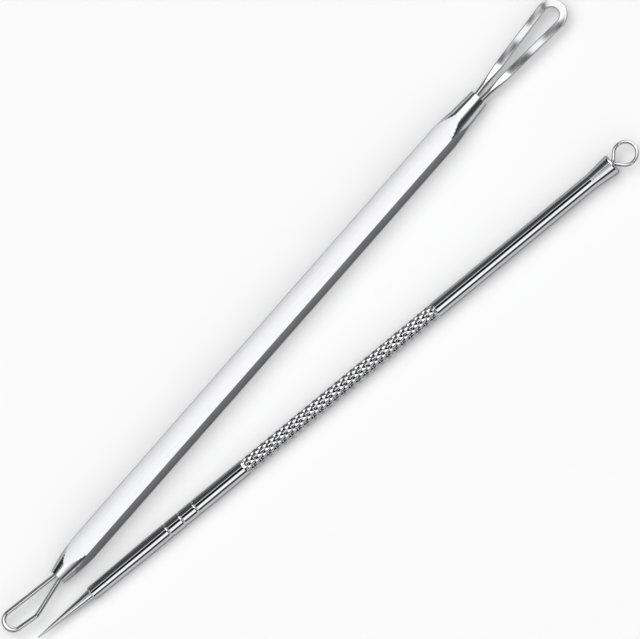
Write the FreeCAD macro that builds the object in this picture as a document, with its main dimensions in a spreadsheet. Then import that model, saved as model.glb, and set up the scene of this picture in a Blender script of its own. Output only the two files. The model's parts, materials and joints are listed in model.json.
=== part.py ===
import FreeCAD, Part
import math
import os
import re

import Sketcher
from FreeCAD import Vector

# A pair of hand tools for clearing skin, lying side by side on a table.
# The loop tool is a square bar with turned ends and a wire loop soldered into each end.
# The needle tool is a knurled round rod with a needle in its nose and a ring at its flared end.
# Lengths are millimetres and angles degrees. The origin is the middle of the bar's underside,
# +X points along the bar to its large loop and +Z points up.

# Driving sizes
SIZES = {
    # square bar with turned ends
    "bar_length": 91.4,
    "bar_side": 3.33,
    "bar_edge_radius": 0.08,
    "small_end_diameter": 2.49,
    "small_taper_length": 5.4,
    "large_end_diameter": 2.79,
    "large_neck_diameter": 3.38,
    "large_neck_length": 4.3,
    "large_taper_length": 3.15,
    # large loop, round wire pressed flat
    "large_loop_length": 18.0,
    "large_eye_diameter": 2.36,
    "large_wire_diameter": 0.85,
    "large_leg_spacing": 1.1,
    "large_bend_radius": 2.0,
    "large_round_length": 2.3,
    "large_flatten_length": 2.6,
    "ribbon_width": 1.2,
    "ribbon_thickness": 0.48,
    "large_socket_depth": 5.0,
    # small loop, round wire
    "small_loop_length": 10.6,
    "small_eye_diameter": 2.22,
    "small_eye_offset": 0.69,
    "small_wire_diameter": 0.68,
    "small_leg_spacing": 0.95,
    "small_bend_radius": 1.2,
    "small_hump_reach": 6.0,
    "small_hump_offset": 1.45,
    "small_hump_radius": 1.5,
    "small_socket_depth": 5.0,
    # needle
    "needle_length": 9.85,
    "needle_base_diameter": 1.57,
    "needle_tip_diameter": 0.24,
    "needle_tip_length": 0.09,
    "needle_tang_diameter": 1.1,
    "needle_tang_length": 4.0,
    # round rod
    "nose_diameter": 2.04,
    "nose_chamfer": 0.14,
    "nose_taper_length": 11.05,
    "rod_diameter": 2.36,
    "groove_setback": 3.3,
    "groove_pitch": 2.55,
    "groove_width": 0.3,
    "groove_depth": 0.08,
    "knurl_setback": 8.9,
    "knurl_length": 35.7,
    "knurl_pitch": 1.38,
    "knurl_depth": 0.2,
    "shank_length": 28.7,
    "flare_length": 4.0,
    "flare_diameter": 3.15,
    "flare_rim_radius": 0.3,
    # ring at the flared end
    "ring_length": 4.2,
    "ring_eye_diameter": 2.9,
    "ring_wire_diameter": 0.53,
    "ring_leg_spacing": 0.56,
    "ring_bend_radius": 0.5,
    "ring_socket_depth": 3.0,
    # fits and the way the pair lies
    "socket_clearance": 0.03,
    "tang_clearance": 0.01,
    "cut_overrun": 0.5,
    "tip_overhang": 8.3,
    "tip_gap": 1.96,
    "needle_tool_turn": 9.675,
}

# Counts and shares
GROOVE_COUNT = 3
KNURL_POINT_COUNT = 8
KNURL_CORE_SHARE = 0.8
WIRE_SIDE_COUNT = 16

# Formulas in the names of the sizes, measured along and across each tool's axis
BAR_CORNER = "((bar_side / 2 - bar_edge_radius) * sqrt(2) + bar_edge_radius)"
CUT_RADIUS = f"({BAR_CORNER} + cut_overrun)"
LARGE_SOCKET = "(large_leg_spacing + large_wire_diameter + 2 * socket_clearance)"
SMALL_SOCKET = "(small_leg_spacing + small_wire_diameter + 2 * socket_clearance)"
RING_SOCKET = "(ring_leg_spacing + ring_wire_diameter + 2 * socket_clearance)"
ROD_AT = "(needle_length + nose_taper_length)"
GROOVES_AT = f"({ROD_AT} + groove_setback)"
KNURL_AT = f"({GROOVES_AT} + {GROOVE_COUNT - 1} * groove_pitch + knurl_setback)"
SHANK_AT = f"({KNURL_AT} + knurl_length)"
FLARE_AT = f"({SHANK_AT} + shank_length)"
FLARE_END = f"({FLARE_AT} + flare_length)"
RIM_AT = f"({FLARE_END} - flare_rim_radius)"
TILT = f"atan((flare_diameter - rod_diameter) / 2 / ({RIM_AT} - {ROD_AT}))"


doc = FreeCAD.newDocument("extractor_pair")
sheet = doc.addObject("Spreadsheet::Sheet", "Sizes")
for row, (alias, number) in enumerate(SIZES.items(), start=1):
    sheet.set(f"A{row}", alias)
    sheet.set(f"B{row}", str(number))
    sheet.setAlias(f"B{row}", alias)
doc.recompute()


def formula(text):
    """Point every size named in a formula at its cell of the sheet."""
    return re.sub(r"[a-z]+(?:_[a-z]+)+", lambda name: f"Sizes.{name.group()}", text)


def size(text):
    """Work out a formula as a plain number."""
    result = sheet.evalExpression(formula(text))
    return float(getattr(result, "Value", result))


def bind(thing, **formulas):
    """Tie properties of an object to formulas."""
    for prop, text in formulas.items():
        thing.setExpression(prop, formula(text))


def new_body(label, placement):
    """Start a body whose local X axis is its tool's axis."""
    body = doc.addObject("PartDesign::Body", label)
    body.Label = label
    bind(body, Placement=placement)
    return body


def origin_plane(body, role):
    """Find one of a body's own base planes."""
    return next(plane for plane in body.Origin.OriginFeatures if plane.Role == role)


def new_sketch(body, name, role):
    """Start a sketch on one of its body's base planes."""
    sketch = body.newObject("Sketcher::SketchObject", name)
    sketch.AttachmentSupport = [(origin_plane(body, role), "")]
    sketch.MapMode = "FlatFace"
    return sketch


def tie(sketch, constraint, text):
    """Add a dimension to a sketch and tie it to a formula."""
    index = sketch.addConstraint(constraint)
    sketch.setExpression(f"Constraints[{index}]", formula(text))


class Node:
    """A corner of a path or an outline, rounded by an arc where it turns.

    The place is the corner's, or the centre of its arc. A turn of 1 is to the left and
    -1 to the right.
    """

    def __init__(self, along, across, radius="0", turn=0):
        self.along = along
        self.across = across
        self.radius = radius
        self.turn = turn
        self.centre = Vector(size(along), size(across), 0)
        self.bow = turn * size(radius)

    def bearing(self, point):
        """Angle at which a point of the arc lies, seen from its centre."""
        return math.atan2(point.y - self.centre.y, point.x - self.centre.x)


def touching_run(first, second):
    """Ends of the straight run that touches the arcs of two nodes."""
    step = second.centre - first.centre
    heading = math.atan2(step.y, step.x) - math.asin((second.bow - first.bow) / step.Length)
    left = Vector(-math.sin(heading), math.cos(heading), 0)
    return first.centre - left * first.bow, second.centre - left * second.bow


def place(sketch, piece, point, node):
    """Tie a point of a sketch to the two formulas of its node."""
    for kind, axis, text in (("DistanceX", -2, node.along), ("DistanceY", -1, node.across)):
        if text == "0":
            sketch.addConstraint(Sketcher.Constraint("PointOnObject", piece, point, axis))
        else:
            tie(sketch, Sketcher.Constraint(kind, -1, 1, piece, point, size(text)), text)


def add_arc(sketch, node, run_in, run_out, ends):
    """Round a node with an arc that touches the runs on both sides of it."""
    entry, leave = (node.bearing(point) for point in ends)
    first, last = (entry, leave) if node.turn > 0 else (leave, entry)
    circle = Part.Circle(node.centre, Vector(0, 0, 1), abs(node.bow))
    arc = sketch.addGeometry(Part.ArcOfCircle(circle, first, last + (2 * math.pi if last < first else 0)))
    start, end = (1, 2) if node.turn > 0 else (2, 1)
    sketch.addConstraint(Sketcher.Constraint("Tangent", run_in, 2, arc, start))
    sketch.addConstraint(Sketcher.Constraint("Tangent", arc, end, run_out, 1))
    place(sketch, arc, 3, node)
    tie(sketch, Sketcher.Constraint("Radius", arc, abs(node.bow)), node.radius)


def draw(sketch, nodes, closed=False):
    """Join nodes in order by straight runs, with an arc at each node that turns."""
    count = len(nodes)
    followers = nodes[1:] + nodes[:1] if closed else nodes[1:]
    ends = [touching_run(first, second) for first, second in zip(nodes, followers)]
    runs = [sketch.addGeometry(Part.LineSegment(*pair)) for pair in ends]
    for k, node in enumerate(nodes):
        if not closed and k == count - 1:
            place(sketch, runs[-1], 2, node)
        elif not closed and k == 0:
            place(sketch, runs[0], 1, node)
        elif node.turn:
            add_arc(sketch, node, runs[k - 1], runs[k], (ends[k - 1][1], ends[k][0]))
        else:
            sketch.addConstraint(Sketcher.Constraint("Coincident", runs[k - 1], 2, runs[k], 1))
            place(sketch, runs[k], 1, node)


def draw_wire(sketch, middle, width, thickness):
    """Draw a wire's section with many flat sides, which keeps its bends light.

    Its corners lie on two half rounds as thick as the wire, moved apart where it is wider.
    """
    corners = []
    for k in range(WIRE_SIDE_COUNT):
        bearing = 360 * (k + 0.5) / WIRE_SIDE_COUNT
        way = "+" if math.cos(math.radians(bearing)) > 0 else "-"
        shift = f"{way} ({width} - {thickness}) / 2"
        corners.append(Node(f"{middle} {shift} + {thickness} / 2 * cos({bearing})",
                            f"{thickness} / 2 * sin({bearing})"))
    draw(sketch, corners, closed=True)


def revolve(body, kind, name, nodes):
    """Turn a closed profile, drawn as distance along and from the axis, about the local X axis."""
    sketch = new_sketch(body, f"{name}_profile", "XZ_Plane")
    draw(sketch, nodes, closed=True)
    turned = body.newObject(f"PartDesign::{kind}", name)
    turned.Profile = sketch
    turned.ReferenceAxis = (sketch, ["H_Axis"])
    turned.Angle = 360
    return turned


def sweep(body, name, section, path):
    """Carry a section along the whole of a flat path."""
    pipe = body.newObject("PartDesign::AdditivePipe", name)
    pipe.Profile = section
    pipe.Spine = (path, [""])
    return pipe


def wire_piece(body, name, nodes, diameter):
    """Bend round wire along a path that starts on a run parallel to the local X axis."""
    path = new_sketch(body, f"{name}_path", "XY_Plane")
    draw(path, nodes)
    section = new_sketch(body, f"{name}_section", "YZ_Plane")
    bind(section, **{"AttachmentOffset.Base.z": nodes[0].along})
    draw_wire(section, nodes[0].across, diameter, diameter)
    doc.recompute()
    return sweep(body, name, section, path)


def solder_plug(label, socket, depth, mouth, loop):
    """Fill a socket with solder round the legs of its loop."""
    plug = doc.addObject("Part::Cylinder", f"{label}_fill")
    bind(plug, Radius=f"{socket} / 2", Height=depth, Placement=mouth)
    cut = doc.addObject("Part::Cut", label)
    cut.Label = label
    cut.Base = plug
    cut.Tool = loop
    return cut


# Where each tool lies
BAR_PLACE = "placement(vector(0; 0; bar_side / 2); rotation(0; 0; 0))"
LARGE_END_PLACE = "placement(vector(bar_length / 2; 0; bar_side / 2); rotation(0; 0; 0))"
SMALL_END_PLACE = "placement(vector(-bar_length / 2; 0; bar_side / 2); rotation(180; 0; 0))"
NEEDLE_TOOL_PLACE = (
    "placement(vector(-bar_length / 2 - tip_overhang; -bar_side / 2 - tip_gap;"
    f" rod_diameter / 2 * cos({TILT}) - {ROD_AT} * sin({TILT}));"
    f" rotation(-needle_tool_turn; -{TILT}; 0))"
)
AXIS_TO_X = "placement(vector({0}; 0; 0); rotation(0; 90; 0))"


def make_handle_bar():
    """Square bar stock with two turned ends, each drilled for the legs of a loop."""
    body = new_body("handle_bar", BAR_PLACE)
    square = new_sketch(body, "bar_section", "YZ_Plane")
    half = "bar_side / 2"
    draw(square, [Node(f"-{half}", f"-{half}"), Node(half, f"-{half}"),
                  Node(half, half), Node(f"-{half}", half)], closed=True)
    bar = body.newObject("PartDesign::Pad", "bar_stock")
    bar.Profile = square
    bar.SideType = "Symmetric"
    bind(bar, Length="bar_length")
    doc.recompute()
    edges = body.newObject("PartDesign::Fillet", "bar_edges")
    long_edges = [f"Edge{k}" for k, edge in enumerate(bar.Shape.Edges, start=1)
                  if math.isclose(edge.Length, size("bar_length"), rel_tol=1e-6)]
    edges.Base = (bar, long_edges)
    bind(edges, Radius="bar_edge_radius")
    doc.recompute()
    end = "bar_length / 2"
    small_slope = f"({CUT_RADIUS} - small_end_diameter / 2) / ({BAR_CORNER} - small_end_diameter / 2)"
    large_slope = f"({CUT_RADIUS} - large_neck_diameter / 2) / ({BAR_CORNER} - large_neck_diameter / 2)"
    revolve(body, "Groove", "small_end_turning", [
        Node(f"-{end} + small_taper_length * {small_slope}", CUT_RADIUS),
        Node(f"-{end}", "small_end_diameter / 2"),
        Node(f"-{end} - cut_overrun", "small_end_diameter / 2"),
        Node(f"-{end} - cut_overrun", CUT_RADIUS),
    ])
    revolve(body, "Groove", "large_end_turning", [
        Node(f"{end} - large_neck_length - large_taper_length * {large_slope}", CUT_RADIUS),
        Node(f"{end} - large_neck_length", "large_neck_diameter / 2"),
        Node(end, "large_end_diameter / 2"),
        Node(f"{end} + cut_overrun", "large_end_diameter / 2"),
        Node(f"{end} + cut_overrun", CUT_RADIUS),
    ])
    for name, way, depth, socket in (("small_socket", "-", "small_socket_depth", SMALL_SOCKET),
                                     ("large_socket", "", "large_socket_depth", LARGE_SOCKET)):
        inner = f"{way}({end} - {depth})"
        outer = f"{way}({end} + cut_overrun)"
        revolve(body, "Groove", name, [Node(inner, "0"), Node(inner, f"{socket} / 2"),
                                       Node(outer, f"{socket} / 2"), Node(outer, "0")])
    return body


def make_large_loop():
    """Round legs that are pressed flat on the way to a ribbon loop with a round end."""
    body = new_body("large_loop", LARGE_END_PLACE)
    eye = "(large_eye_diameter / 2 + ribbon_width / 2)"
    eye_at = f"(large_loop_length - ribbon_width / 2 - {eye})"
    bend_off = "(large_leg_spacing / 2 + large_bend_radius)"
    lean = f"(asin(({eye} + large_bend_radius) / hypot({eye_at}; {bend_off})) - atan({bend_off} / {eye_at}))"

    def on_leg(run):
        """Formulas for the point that lies a run along the straight leg from its bend."""
        along = f"(large_bend_radius * sin({lean}) + {run} * cos({lean}))"
        across = f"({bend_off} - large_bend_radius * cos({lean}) + {run} * sin({lean}))"
        return along, across

    def leg_section(name, run):
        """Sketch square to the leg, centred on it."""
        along, across = on_leg(run)
        sketch = new_sketch(body, name, "YZ_Plane")
        sketch.AttachmentOffset = FreeCAD.Placement(Vector(), FreeCAD.Rotation(Vector(0, 1, 0), 1))
        bind(sketch, **{"AttachmentOffset.Base.x": across, "AttachmentOffset.Base.z": along,
                        "AttachmentOffset.Rotation.Angle": lean})
        return sketch

    flat_from = "large_round_length"
    flat_to = "(large_round_length + large_flatten_length)"
    leg = wire_piece(body, "large_leg", [
        Node("-large_socket_depth", "large_leg_spacing / 2"),
        Node("0", bend_off, "large_bend_radius", 1),
        Node(*on_leg(flat_from)),
    ], "large_wire_diameter")
    round_end = leg_section("flatten_start", flat_from)
    draw_wire(round_end, "0", "large_wire_diameter", "large_wire_diameter")
    flat_end = leg_section("flatten_end", flat_to)
    draw_wire(flat_end, "0", "ribbon_width", "ribbon_thickness")
    doc.recompute()
    pressed = body.newObject("PartDesign::AdditiveLoft", "flattening")
    pressed.Profile = round_end
    pressed.Sections = [flat_end]
    doc.recompute()
    along, across = on_leg(flat_to)
    path = new_sketch(body, "ribbon_path", "XY_Plane")
    draw(path, [Node(along, across), Node(eye_at, "0", eye, -1), Node(along, f"-{across}")])
    doc.recompute()
    sweep(body, "ribbon", flat_end, path)
    doc.recompute()
    other_leg = body.newObject("PartDesign::Mirrored", "other_leg")
    other_leg.Originals = [leg, pressed]
    other_leg.MirrorPlane = (origin_plane(body, "XZ_Plane"), [""])
    body.Tip = other_leg
    return body


def make_small_loop():
    """Round wire bent into an eye that leans to one side, with a hump in one leg."""
    body = new_body("small_loop", SMALL_END_PLACE)
    eye = "(small_eye_diameter / 2 + small_wire_diameter / 2)"
    bend_off = "(small_leg_spacing / 2 + small_bend_radius)"
    wire_piece(body, "small_wire", [
        Node("-small_socket_depth", "small_leg_spacing / 2"),
        Node("0", bend_off, "small_bend_radius", 1),
        Node("small_hump_reach", "small_hump_offset - small_hump_radius", "small_hump_radius", -1),
        Node(f"small_loop_length - small_wire_diameter / 2 - {eye}", "-small_eye_offset", eye, -1),
        Node("0", f"-{bend_off}", "small_bend_radius", 1),
        Node("-small_socket_depth", "-small_leg_spacing / 2"),
    ], "small_wire_diameter")
    return body


def make_knurl():
    """Four-sided points in staggered rings: each ring lies half a pitch from the next.

    A grid of corners runs along and round the rod. Every other corner is a peak at the rod's
    surface and the rest lie at the bottom of the crossing grooves.
    """
    rows = 2 * max(1, round(size("knurl_length") / size("knurl_pitch")))
    columns = 2 * KNURL_POINT_COUNT
    start = size(KNURL_AT)
    row_step = size("knurl_length") / rows
    radii = (size("rod_diameter / 2 - knurl_depth"), size("rod_diameter / 2"))

    def corner(row, column):
        """Corner of the grid, deep in the grooves where row and column add up to an even number."""
        radius = radii[(row + column) % 2]
        angle = 2 * math.pi * (column % columns) / columns
        return Vector(start + row * row_step, radius * math.cos(angle), radius * math.sin(angle))

    def facet(*places):
        """Flat face through corners of the grid."""
        points = [corner(*spot) for spot in places]
        return Part.Face(Part.makePolygon(points + points[:1]))

    faces = [facet(*((row, column) for column in range(columns))) for row in (0, rows)]
    for row in range(rows):
        for column in range(columns):
            low, high = (row, column), (row + 1, column + 1)
            side, other = (row + 1, column), (row, column + 1)
            if (row + column) % 2:
                low, side, high, other = side, high, other, low
            faces += [facet(low, side, high), facet(low, high, other)]
    shell = Part.makeShell(faces)
    knurl = doc.addObject("Part::Feature", "knurl")
    knurl.Shape = Part.makeSolid(shell)
    bind(knurl, Placement=NEEDLE_TOOL_PLACE)
    return knurl


def make_knurled_handle():
    """Turned rod with a tapered nose, three fine grooves, a knurled grip and a flared end."""
    body = new_body("turned_rod", NEEDLE_TOOL_PLACE)
    rod = "rod_diameter / 2"
    core = f"{KNURL_CORE_SHARE} * ({rod} - knurl_depth)"
    tang = "(needle_tang_diameter / 2 + tang_clearance)"
    tang_end = "(needle_length + needle_tang_length)"
    socket_end = f"({FLARE_END} - ring_socket_depth)"
    profile = [
        Node(tang_end, "0"),
        Node(tang_end, tang),
        Node("needle_length", tang),
        Node("needle_length", "nose_diameter / 2 - nose_chamfer"),
        Node("needle_length + nose_chamfer", "nose_diameter / 2"),
        Node(ROD_AT, rod),
    ]
    for k in range(GROOVE_COUNT):
        middle = f"{GROOVES_AT} + {k} * groove_pitch"
        profile += [
            Node(f"{middle} - groove_width / 2", rod),
            Node(f"{middle} - groove_width / 2", f"{rod} - groove_depth"),
            Node(f"{middle} + groove_width / 2", f"{rod} - groove_depth"),
            Node(f"{middle} + groove_width / 2", rod),
        ]
    profile += [
        Node(KNURL_AT, rod),
        Node(KNURL_AT, core),
        Node(SHANK_AT, core),
        Node(SHANK_AT, rod),
        Node(FLARE_AT, rod),
        Node(RIM_AT, "flare_diameter / 2 - flare_rim_radius", "flare_rim_radius", -1),
        Node(FLARE_END, f"{RING_SOCKET} / 2"),
        Node(socket_end, f"{RING_SOCKET} / 2"),
        Node(socket_end, "0"),
    ]
    revolve(body, "Revolution", "turning", profile)
    handle = doc.addObject("Part::Fuse", "knurled_handle")
    handle.Label = "knurled_handle"
    handle.Base = body
    handle.Tool = make_knurl()
    return handle


def make_needle():
    """Slim cone with a blunted point and a tang that is pressed into the rod's nose."""
    body = new_body("needle", NEEDLE_TOOL_PLACE)
    tang_end = "(needle_length + needle_tang_length)"
    revolve(body, "Revolution", "needle_turning", [
        Node("0", "0"),
        Node("needle_tip_length", "needle_tip_diameter / 2"),
        Node("needle_length", "needle_base_diameter / 2"),
        Node("needle_length", "needle_tang_diameter / 2"),
        Node(tang_end, "needle_tang_diameter / 2"),
        Node(tang_end, "0"),
    ])
    return body


def make_ring_loop():
    """Round wire bent into a ring, with both legs in the socket of the flared end."""
    body = new_body("ring_loop", NEEDLE_TOOL_PLACE)
    eye = "(ring_eye_diameter / 2 + ring_wire_diameter / 2)"
    bend_off = "(ring_leg_spacing / 2 + ring_bend_radius)"
    leg_end = f"{FLARE_END} - ring_socket_depth"
    wire_piece(body, "ring_wire", [
        Node(leg_end, "ring_leg_spacing / 2"),
        Node(FLARE_END, bend_off, "ring_bend_radius", 1),
        Node(f"{FLARE_END} + ring_length - ring_wire_diameter / 2 - {eye}", "0", eye, -1),
        Node(FLARE_END, f"-{bend_off}", "ring_bend_radius", 1),
        Node(leg_end, "-ring_leg_spacing / 2"),
    ], "ring_wire_diameter")
    return body


handle_bar = make_handle_bar()
large_loop = make_large_loop()
small_loop = make_small_loop()
ring_loop = make_ring_loop()
SUB_PARTS = [
    handle_bar,
    large_loop,
    small_loop,
    solder_plug("large_loop_solder", LARGE_SOCKET, "large_socket_depth",
                f"{LARGE_END_PLACE} * {AXIS_TO_X.format('-large_socket_depth')}", large_loop),
    solder_plug("small_loop_solder", SMALL_SOCKET, "small_socket_depth",
                f"{SMALL_END_PLACE} * {AXIS_TO_X.format('-small_socket_depth')}", small_loop),
    make_knurled_handle(),
    make_needle(),
    ring_loop,
    solder_plug("ring_solder", RING_SOCKET, "ring_socket_depth",
                f"{NEEDLE_TOOL_PLACE} * {AXIS_TO_X.format(f'{FLARE_END} - ring_socket_depth')}", ring_loop),
]
doc.recompute()

for thing in doc.Objects:
    if {"Invalid", "Error"} & set(thing.State):
        raise RuntimeError(f"{thing.Label} did not build: {thing.State}")
for sub_part in SUB_PARTS:
    if sub_part.Shape.isNull() or not sub_part.Shape.isValid():
        raise RuntimeError(f"{sub_part.Label} has no valid shape")

os.makedirs("parts", exist_ok=True)
for sub_part in SUB_PARTS:
    sub_part.Shape.exportStep(f"parts/{sub_part.Label}.step")
    print(sub_part.Label, f"{sub_part.Shape.Volume:.3f} mm3", len(sub_part.Shape.Solids), "solid")
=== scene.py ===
"""Dress a pair of steel skin tools that lie side by side on a pale table.

The loop tool is a square bar with a turned cone at each end and a wire loop soldered into each cone.
The needle tool is a round rod with a diamond-knurled grip, a needle in its nose and a ring at its
flared end. Lengths are metres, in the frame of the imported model: +X runs along the bar to its large
loop and +Z points up from the table.
"""
import json
import logging
import math
from dataclasses import dataclass
from enum import Enum
from typing import Sequence

import bpy
import numpy as np
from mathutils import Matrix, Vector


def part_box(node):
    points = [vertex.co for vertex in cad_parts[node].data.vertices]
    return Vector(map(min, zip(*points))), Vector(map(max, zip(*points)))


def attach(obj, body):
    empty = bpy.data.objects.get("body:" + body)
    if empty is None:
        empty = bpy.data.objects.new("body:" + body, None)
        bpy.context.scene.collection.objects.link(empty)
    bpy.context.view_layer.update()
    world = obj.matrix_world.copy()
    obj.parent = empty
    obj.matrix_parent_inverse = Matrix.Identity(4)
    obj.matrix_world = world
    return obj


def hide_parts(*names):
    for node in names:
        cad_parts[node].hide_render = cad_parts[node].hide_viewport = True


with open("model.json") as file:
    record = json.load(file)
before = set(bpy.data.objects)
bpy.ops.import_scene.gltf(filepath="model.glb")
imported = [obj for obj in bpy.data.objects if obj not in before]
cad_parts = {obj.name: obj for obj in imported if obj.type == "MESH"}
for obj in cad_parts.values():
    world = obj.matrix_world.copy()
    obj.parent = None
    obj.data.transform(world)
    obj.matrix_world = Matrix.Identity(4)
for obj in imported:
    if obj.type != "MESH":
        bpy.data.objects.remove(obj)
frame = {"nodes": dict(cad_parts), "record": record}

log = logging.getLogger("skin_tools")

MM = 0.001
# Spacing of rings on a plain stretch and where two surfaces cross, and from a corner to the ring beside it
COARSE = 2.0 * MM
FINE = 0.08 * MM
NEAR = 0.03 * MM
# Points round a bent wire, and their spacing along it
WIRE_COLUMNS = 32
WIRE_STEP = 0.3 * MM
# Degrees from overhead to the horizon
HORIZON = 90.0

Array = np.ndarray
Colour = tuple[float, float, float]
Socket = bpy.types.NodeSocket
Thing = bpy.types.Object


class Grain(Enum):
    """Way in which fine tool marks run over a steel surface, as stretch along a tool's X, Y and Z.

    The marks of drawn wire follow the piece's `lay` attribute instead: along, across and up from it.
    """

    LENGTHWISE = (0.02, 1.0, 1.0)
    DRAWN = (0.012, 1.0, 1.0)
    TURNED = (1.0, 0.02, 0.02)
    CLOUDED = (1.0, 1.0, 1.0)


@dataclass(frozen=True)
class Stand:
    """Where a piece's own frame lies: its origin, and its three axes as rows."""

    origin: Array
    axes: Array

    def to_frame(self, points: Array) -> Array:
        """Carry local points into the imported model's frame."""
        return self.origin + points @ self.axes

    def shifted(self, along: float) -> "Stand":
        """The same axes with the origin moved along the local X axis."""
        return Stand(self.origin + along * self.axes[0], self.axes)


@dataclass(frozen=True)
class Corner:
    """A corner of a turned profile.

    It lies `along` the axis and `out` from it. `ease` is the radius that rounds it, and `step` the
    spacing of rings on the run that follows.
    """

    along: float
    out: float
    ease: float = 0.0
    step: float = COARSE


@dataclass(frozen=True)
class Bend:
    """A stop on a bent wire's middle line.

    It is a plain point, or the centre of an arc whose signed radius `bow` is positive on a left turn.
    """

    along: float
    across: float
    bow: float = 0.0


class NodeMaker:
    """Adds nodes to a shader tree, and links or sets their inputs."""

    def __init__(self, tree: bpy.types.NodeTree) -> None:
        """Work in one node tree."""
        self.tree = tree

    def put(self, socket: Socket, value: object) -> None:
        """Give an input its value.

        Args:
            socket: the input.
            value: another node's output, which is linked, or a plain value, which is set.
        """
        if isinstance(value, Socket):
            self.tree.links.new(value, socket)
        else:
            socket.default_value = value

    def add(self, kind: str, inputs: dict[str, object] | None = None, **settings: str) -> bpy.types.Node:
        """Add a node.

        Args:
            kind: its type, without the start that all shader nodes share.
            inputs: outputs and plain values, by the name of the input that they go to.
            settings: the node's own options.

        Returns:
            The node.
        """
        node = self.tree.nodes.new("ShaderNode" + kind)
        for name, value in settings.items():
            setattr(node, name, value)
        for name, value in (inputs or {}).items():
            self.put(node.inputs[name], value)
        return node

    def math(self, operation: str, *values: object) -> Socket:
        """Add a calculation.

        Args:
            operation: what is done with the values.
            values: outputs and plain numbers, in order.

        Returns:
            The result.
        """
        node = self.add("Math", operation=operation)
        for socket, value in zip(node.inputs, values):
            self.put(socket, value)
        return node.outputs["Value"]

    def rise(self, value: Socket, start: float, end: float) -> Socket:
        """Share that rises smoothly from 0 at start to 1 at end."""
        inputs = {"Value": value, "From Min": start, "From Max": end}
        return self.add("MapRange", inputs, interpolation_type="SMOOTHSTEP").outputs["Result"]

    def ramp(self, share: Socket, stops: Sequence[tuple[float, Colour]],
             interpolation: str) -> Socket:
        """Colour that follows stops.

        Args:
            share: place among the stops, from 0 to 1.
            stops: places and their colours, in order.
            interpolation: how the colour goes from stop to stop.

        Returns:
            The colour.
        """
        node = self.add("ValToRGB", {"Fac": share})
        node.color_ramp.interpolation = interpolation
        elements = node.color_ramp.elements
        ready = len(elements)
        for k, (place, colour) in enumerate(stops):
            stop = elements[k] if k < ready else elements.new(place)
            stop.position = place
            stop.color = (*colour, 1.0)
        return node.outputs["Color"]


@dataclass(frozen=True)
class SteelFinish:
    """A steel surface: its colour, its polish, and the fine marks that its making left.

    `rough` and `rough_swing` are the mean roughness and how far the marks move it. `mark_size` is the
    width of a mark and `mark_depth` its depth. `edge` is the share of light that it mirrors at a glancing
    angle. `recess_shade` is how far painted shade darkens the colour in recesses, where a piece has a
    `recess` attribute. The rest are shared by all steels: the noise of the marks and of broad clouds, the
    range of their product that moves the roughness, and the range of the clouds that takes the colour from
    its shade to its full strength.
    """

    name: str
    slot: str
    colour: Colour
    rough: float
    rough_swing: float
    grain: Grain
    mark_size: float
    mark_depth: float
    edge: float = 0.3
    recess_shade: float = 0.0
    mark_detail: float = 4.0
    cloud_size: float = 9.0 * MM
    cloud_detail: float = 3.0
    rough_range: tuple[float, float] = (0.12, 0.4)
    smoothest: float = 0.02
    cloud_range: tuple[float, float] = (0.3, 0.7)
    cloud_shade: float = 0.93

    def material(self, stand: Stand) -> bpy.types.Material:
        """Build the finish as a procedural material.

        Noise on Object coordinates, turned to the tool's own axes and drawn out along the grain, moves
        the roughness and a shallow bump. A broad second noise clouds the roughness and the colour.

        Args:
            stand: the tool's frame, whose axes the grain follows.

        Returns:
            The material.
        """
        material = bpy.data.materials.new(self.name)
        material.use_nodes = True
        nodes = NodeMaker(material.node_tree)
        turned = nodes.add("Mapping", {
            "Vector": nodes.add("TexCoord").outputs["Object"],
            "Location": tuple(stand.origin),
            "Rotation": (0.0, 0.0, math.atan2(stand.axes[0, 1], stand.axes[0, 0])),
        }, vector_type="TEXTURE").outputs["Vector"]
        lay = nodes.add("Attribute", attribute_name="lay").outputs["Vector"]
        drawn_out = nodes.add("Mapping", {
            "Vector": lay if self.grain is Grain.DRAWN else turned,
            "Scale": tuple(share / self.mark_size for share in self.grain.value),
        }).outputs["Vector"]
        marks = nodes.add("TexNoise", {
            "Vector": drawn_out, "Scale": 1.0, "Detail": self.mark_detail,
        }).outputs["Fac"]
        clouds = nodes.add("TexNoise", {
            "Vector": turned, "Scale": 1.0 / self.cloud_size, "Detail": self.cloud_detail,
        }).outputs["Fac"]
        rough = nodes.add("MapRange", {
            "Value": nodes.math("MULTIPLY", marks, clouds),
            "From Min": self.rough_range[0],
            "From Max": self.rough_range[1],
            "To Min": max(self.rough - self.rough_swing, self.smoothest),
            "To Max": self.rough + self.rough_swing,
        }).outputs["Result"]
        bump = nodes.add("Bump", {"Height": marks, "Strength": 1.0, "Distance": self.mark_depth})
        shaded = tuple(self.cloud_shade * part for part in self.colour)
        base = nodes.ramp(clouds, list(zip(self.cloud_range, (shaded, self.colour))), "LINEAR")
        # Painted shade: the colour is darkened in the knurl's recesses, by the piece's recess attribute.
        if self.recess_shade:
            unshaded = 1.0 - self.recess_shade
            recess = nodes.add("Attribute", attribute_name="recess").outputs["Fac"]
            base = nodes.add("Mix", {"Factor": recess, "A": base, "B": (unshaded, unshaded, unshaded, 1.0)},
                             data_type="RGBA", blend_type="MULTIPLY").outputs["Result"]
        shader = material.node_tree.nodes["Principled BSDF"]
        shader.inputs["Metallic"].default_value = 1.0
        shader.inputs["Roughness"].default_value = self.rough
        shader.inputs["Specular Tint"].default_value = (self.edge, self.edge, self.edge, 1.0)
        nodes.put(shader.inputs["Roughness"], rough)
        nodes.put(shader.inputs["Normal"], bump.outputs["Normal"])
        nodes.put(shader.inputs["Base Color"], base)
        return material


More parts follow.
